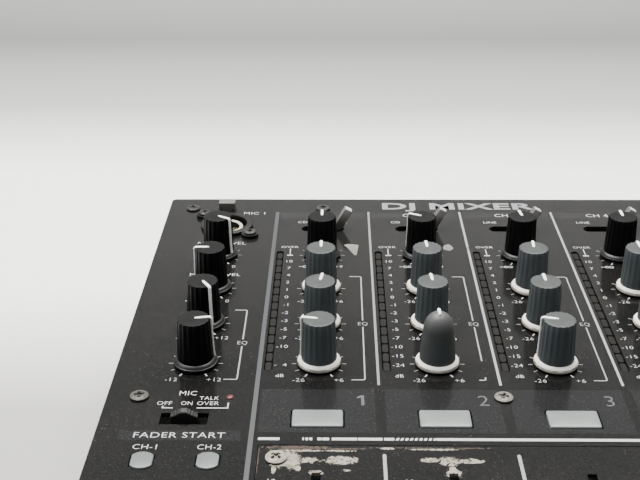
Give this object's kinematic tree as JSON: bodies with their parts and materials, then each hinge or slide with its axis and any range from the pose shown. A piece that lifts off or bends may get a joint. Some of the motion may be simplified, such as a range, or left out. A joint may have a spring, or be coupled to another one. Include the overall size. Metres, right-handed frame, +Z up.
{
  "type": "dj mixer",
  "caption": "Table-top disc jockey mixer: a flat steel case with a rear socket panel and a top panel of rotary knobs, lever switches, level meters, buttons, channel faders and a crossfader.",
  "frame": {"origin": "centre of the case's outline, on the surface that the feet stand on", "axes": "+Z up, +X to the operator's right, +Y from the operator towards the socket panel"},
  "size_m": [0.32, 0.371, 0.1077],
  "materials": {
    "case_paint": "fine textured black",
    "panel_paint": "semi-gloss black, lightly worn",
    "plate_paint": "semi-gloss black, worn to metal at the screws",
    "rubber": "matt",
    "steel": "zinc plated",
    "board": "solder resist",
    "transformer": "taped winding",
    "switch_body": "plain",
    "smoked_lens": "smoked, gloss",
    "socket_plastic": "moulded black",
    "knob_grey": "moulded, worn to a sheen",
    "knob_black": "moulded, worn to a sheen",
    "skirt_white": "moulded, aged",
    "chrome": "polished",
    "button_white": "milky, part translucent",
    "rocker_black": "moulded",
    "slider_black": "ribbed",
    "latch_grey": "worn",
    "legend_white": "screen print, part worn",
    "silver_band": "silver print"
  },
  "bodies": {
    "case": {"bottom_tray": "case_paint", "top_panel": "panel_paint", "fader_plate": "plate_paint", "rear_panel": "case_paint", "feet": "rubber", "fasteners": "steel", "circuit_boards": "board", "power_supply": "transformer", "pots_and_switches": "switch_body", "fader_tracks": "steel", "display_lenses": "smoked_lens", "mic_socket": "socket_plastic", "sockets": "socket_plastic"},
    "mic_1_level_knob": {"mic_1_level_knob": "knob_black"},
    "mic_2_level_knob": {"mic_2_level_knob": "knob_black"},
    "mic_high_knob": {"mic_high_knob": "knob_black"},
    "mic_low_knob": {"mic_low_knob": "knob_black"},
    "headphone_mix_knob": {"headphone_mix_knob": "knob_black"},
    "headphone_level_knob": {"headphone_level_knob": "knob_black"},
    "trim_knob_1": {"trim_knob_1": "knob_black"},
    "trim_knob_2": {"trim_knob_2": "knob_black"},
    "trim_knob_3": {"trim_knob_3": "knob_black"},
    "trim_knob_4": {"trim_knob_4": "knob_black"},
    "high_knob_1": {"high_knob_1": "knob_grey"},
    "high_knob_2": {"high_knob_2": "knob_grey"},
    "high_knob_3": {"high_knob_3": "knob_grey"},
    "high_knob_4": {"high_knob_4": "knob_grey"},
    "mid_knob_1": {"mid_knob_1": "knob_grey"},
    "mid_knob_2": {"mid_knob_2": "knob_grey"},
    "mid_knob_3": {"mid_knob_3": "knob_grey"},
    "mid_knob_4": {"mid_knob_4": "knob_grey"},
    "low_knob_1": {"low_knob_1": "knob_grey"},
    "low_knob_2": {"low_knob_2": "knob_grey"},
    "low_knob_3": {"low_knob_3": "knob_grey"},
    "low_knob_4": {"low_knob_4": "knob_grey"},
    "assign_knob_a": {"assign_knob_a": "knob_black"},
    "assign_knob_b": {"assign_knob_b": "knob_black"},
    "master_level_knob": {"master_level_knob": "knob_black"},
    "booth_level_knob": {"booth_level_knob": "knob_black"},
    "effect_select_knob": {"effect_select_knob": "knob_black"},
    "effect_time_knob": {"effect_time_knob": "knob_black"},
    "mic_mode_switch": {"mic_mode_switch": "slider_black"},
    "fader_start_button_1": {"fader_start_button_1": "button_white"},
    "fader_start_button_2": {"fader_start_button_2": "button_white"},
    "mic_latch": {"mic_latch": "latch_grey"},
    "input_lever_1": {"input_lever_1": "chrome"},
    "input_lever_2": {"input_lever_2": "chrome"},
    "input_lever_3": {"input_lever_3": "chrome"},
    "input_lever_4": {"input_lever_4": "chrome"},
    "cue_button_1": {"cue_button_1": "button_white"},
    "cue_button_2": {"cue_button_2": "button_white"},
    "cue_button_3": {"cue_button_3": "button_white"},
    "cue_button_4": {"cue_button_4": "button_white"},
    "channel_fader_1": {"channel_fader_1": "knob_grey"},
    "channel_fader_2": {"channel_fader_2": "knob_grey"},
    "channel_fader_3": {"channel_fader_3": "knob_grey"},
    "channel_fader_4": {"channel_fader_4": "knob_grey"},
    "crossfader": {"crossfader": "knob_grey"},
    "effect_button": {"effect_button": "button_white"},
    "power_switch": {"power_switch": "rocker_black"}
  },
  "joints": [
    {"name": "mic_1_level_turn", "type": "hinge", "parent": "case", "child": "mic_1_level_knob", "pos_m": [-0.1301, 0.1211, 0.105], "axis": [0, 0, 1], "range_deg": [-28, 272]},
    {"name": "mic_2_level_turn", "type": "hinge", "parent": "case", "child": "mic_2_level_knob", "pos_m": [-0.1301, 0.0888, 0.105], "axis": [0, 0, 1], "range_deg": [-240, 60]},
    {"name": "mic_high_turn", "type": "hinge", "parent": "case", "child": "mic_high_knob", "pos_m": [-0.1301, 0.0583, 0.105], "axis": [0, 0, 1], "range_deg": [-2, 298]},
    {"name": "mic_low_turn", "type": "hinge", "parent": "case", "child": "mic_low_knob", "pos_m": [-0.1301, 0.0277, 0.105], "axis": [0, 0, 1], "range_deg": [-70, 230]},
    {"name": "headphone_mix_turn", "type": "hinge", "parent": "case", "child": "headphone_mix_knob", "pos_m": [-0.1301, -0.0765, 0.105], "axis": [0, 0, 1], "range_deg": [-150, 150]},
    {"name": "headphone_level_turn", "type": "hinge", "parent": "case", "child": "headphone_level_knob", "pos_m": [-0.1301, -0.1145, 0.105], "axis": [0, 0, 1], "range_deg": [-210, 90]},
    {"name": "trim_1_turn", "type": "hinge", "parent": "case", "child": "trim_knob_1", "pos_m": [-0.08297, 0.1211, 0.105], "axis": [0, 0, 1], "range_deg": [-150, 150]},
    {"name": "trim_2_turn", "type": "hinge", "parent": "case", "child": "trim_knob_2", "pos_m": [-0.03798, 0.1211, 0.105], "axis": [0, 0, 1], "range_deg": [-213, 87]},
    {"name": "trim_3_turn", "type": "hinge", "parent": "case", "child": "trim_knob_3", "pos_m": [0.00702, 0.1211, 0.105], "axis": [0, 0, 1], "range_deg": [-157, 143]},
    {"name": "trim_4_turn", "type": "hinge", "parent": "case", "child": "trim_knob_4", "pos_m": [0.05202, 0.1211, 0.105], "axis": [0, 0, 1], "range_deg": [-150, 150]},
    {"name": "high_1_turn", "type": "hinge", "parent": "case", "child": "high_knob_1", "pos_m": [-0.08297, 0.0888, 0.105], "axis": [0, 0, 1], "range_deg": [-150, 150]},
    {"name": "high_2_turn", "type": "hinge", "parent": "case", "child": "high_knob_2", "pos_m": [-0.03798, 0.0888, 0.105], "axis": [0, 0, 1], "range_deg": [-152, 148]},
    {"name": "high_3_turn", "type": "hinge", "parent": "case", "child": "high_knob_3", "pos_m": [0.00702, 0.0888, 0.105], "axis": [0, 0, 1], "range_deg": [-146, 154]},
    {"name": "high_4_turn", "type": "hinge", "parent": "case", "child": "high_knob_4", "pos_m": [0.05202, 0.0888, 0.105], "axis": [0, 0, 1], "range_deg": [-150, 150]},
    {"name": "mid_1_turn", "type": "hinge", "parent": "case", "child": "mid_knob_1", "pos_m": [-0.08297, 0.0583, 0.105], "axis": [0, 0, 1], "range_deg": [-142, 158]},
    {"name": "mid_2_turn", "type": "hinge", "parent": "case", "child": "mid_knob_2", "pos_m": [-0.03798, 0.0583, 0.105], "axis": [0, 0, 1], "range_deg": [-154, 146]},
    {"name": "mid_3_turn", "type": "hinge", "parent": "case", "child": "mid_knob_3", "pos_m": [0.00702, 0.0583, 0.105], "axis": [0, 0, 1], "range_deg": [-151, 149]},
    {"name": "mid_4_turn", "type": "hinge", "parent": "case", "child": "mid_knob_4", "pos_m": [0.05202, 0.0583, 0.105], "axis": [0, 0, 1], "range_deg": [-150, 150]},
    {"name": "low_1_turn", "type": "hinge", "parent": "case", "child": "low_knob_1", "pos_m": [-0.08297, 0.0277, 0.105], "axis": [0, 0, 1], "range_deg": [-229, 71]},
    {"name": "low_2_turn", "type": "hinge", "parent": "case", "child": "low_knob_2", "pos_m": [-0.03798, 0.0277, 0.105], "axis": [0, 0, 1], "range_deg": [-152, 148]},
    {"name": "low_3_turn", "type": "hinge", "parent": "case", "child": "low_knob_3", "pos_m": [0.00702, 0.0277, 0.105], "axis": [0, 0, 1], "range_deg": [-225, 75]},
    {"name": "low_4_turn", "type": "hinge", "parent": "case", "child": "low_knob_4", "pos_m": [0.05202, 0.0277, 0.105], "axis": [0, 0, 1], "range_deg": [-230, 70]},
    {"name": "assign_a_turn", "type": "hinge", "parent": "case", "child": "assign_knob_a", "pos_m": [-0.08297, -0.1425, 0.105], "axis": [0, 0, 1], "range_deg": [-90, 0]},
    {"name": "assign_b_turn", "type": "hinge", "parent": "case", "child": "assign_knob_b", "pos_m": [0.05202, -0.1425, 0.105], "axis": [0, 0, 1], "range_deg": [0, 90]},
    {"name": "master_level_turn", "type": "hinge", "parent": "case", "child": "master_level_knob", "pos_m": [0.103, 0.1211, 0.105], "axis": [0, 0, 1], "range_deg": [-180, 120]},
    {"name": "booth_level_turn", "type": "hinge", "parent": "case", "child": "booth_level_knob", "pos_m": [0.103, 0.0745, 0.105], "axis": [0, 0, 1], "range_deg": [-190, 110]},
    {"name": "effect_select_turn", "type": "hinge", "parent": "case", "child": "effect_select_knob", "pos_m": [0.096, -0.0645, 0.105], "axis": [0, 0, 1], "range_deg": [-210, 90]},
    {"name": "effect_time_turn", "type": "hinge", "parent": "case", "child": "effect_time_knob", "pos_m": [0.135, -0.0645, 0.105], "axis": [0, 0, 1], "range_deg": [-150, 150]},
    {"name": "mic_mode_slide", "type": "slide", "parent": "case", "child": "mic_mode_switch", "axis": [1, 0, 0], "range_m": [-0.0034, 0.0034]},
    {"name": "fader_start_1_press", "type": "slide", "parent": "case", "child": "fader_start_button_1", "axis": [0, 0, -1], "range_m": [0, 0.001], "stiffness_N_per_m": 400, "springref_m": -0.001},
    {"name": "fader_start_2_press", "type": "slide", "parent": "case", "child": "fader_start_button_2", "axis": [0, 0, -1], "range_m": [0, 0.001], "stiffness_N_per_m": 400, "springref_m": -0.001},
    {"name": "mic_latch_press", "type": "slide", "parent": "case", "child": "mic_latch", "axis": [0, 0, -1], "range_m": [0, 0.002], "stiffness_N_per_m": 400, "springref_m": -0.001},
    {"name": "input_lever_1_tilt", "type": "hinge", "parent": "case", "child": "input_lever_1", "pos_m": [-0.08297, 0.1499, 0.073], "axis": [0, 1, 0], "range_deg": [-57.2, 0]},
    {"name": "input_lever_2_tilt", "type": "hinge", "parent": "case", "child": "input_lever_2", "pos_m": [-0.03798, 0.1499, 0.073], "axis": [0, 1, 0], "range_deg": [-57.2, 0]},
    {"name": "input_lever_3_tilt", "type": "hinge", "parent": "case", "child": "input_lever_3", "pos_m": [0.00702, 0.1499, 0.073], "axis": [0, 1, 0], "range_deg": [-57.2, 0]},
    {"name": "input_lever_4_tilt", "type": "hinge", "parent": "case", "child": "input_lever_4", "pos_m": [0.05202, 0.1499, 0.073], "axis": [0, 1, 0], "range_deg": [-57.2, 0]},
    {"name": "cue_1_press", "type": "slide", "parent": "case", "child": "cue_button_1", "axis": [0, 0, -1], "range_m": [0, 0.001], "stiffness_N_per_m": 400, "springref_m": -0.001},
    {"name": "cue_2_press", "type": "slide", "parent": "case", "child": "cue_button_2", "axis": [0, 0, -1], "range_m": [0, 0.001], "stiffness_N_per_m": 400, "springref_m": -0.001},
    {"name": "cue_3_press", "type": "slide", "parent": "case", "child": "cue_button_3", "axis": [0, 0, -1], "range_m": [0, 0.001], "stiffness_N_per_m": 400, "springref_m": -0.001},
    {"name": "cue_4_press", "type": "slide", "parent": "case", "child": "cue_button_4", "axis": [0, 0, -1], "range_m": [0, 0.001], "stiffness_N_per_m": 400, "springref_m": -0.001},
    {"name": "channel_fader_1_slide", "type": "slide", "parent": "case", "child": "channel_fader_1", "axis": [0, 1, 0], "range_m": [0, 0.06]},
    {"name": "channel_fader_2_slide", "type": "slide", "parent": "case", "child": "channel_fader_2", "axis": [0, 1, 0], "range_m": [0, 0.06]},
    {"name": "channel_fader_3_slide", "type": "slide", "parent": "case", "child": "channel_fader_3", "axis": [0, 1, 0], "range_m": [0, 0.06]},
    {"name": "channel_fader_4_slide", "type": "slide", "parent": "case", "child": "channel_fader_4", "axis": [0, 1, 0], "range_m": [0, 0.06]},
    {"name": "crossfader_slide", "type": "slide", "parent": "case", "child": "crossfader", "axis": [1, 0, 0], "range_m": [-0.0225, 0.0225]},
    {"name": "effect_press", "type": "slide", "parent": "case", "child": "effect_button", "axis": [0, 0, -1], "range_m": [0, 0.001], "stiffness_N_per_m": 400, "springref_m": -0.001},
    {"name": "power_rock", "type": "hinge", "parent": "case", "child": "power_switch", "pos_m": [-0.138, 0.1725, 0.062], "axis": [1, 0, 0], "range_deg": [-20, 0]}
  ]
}
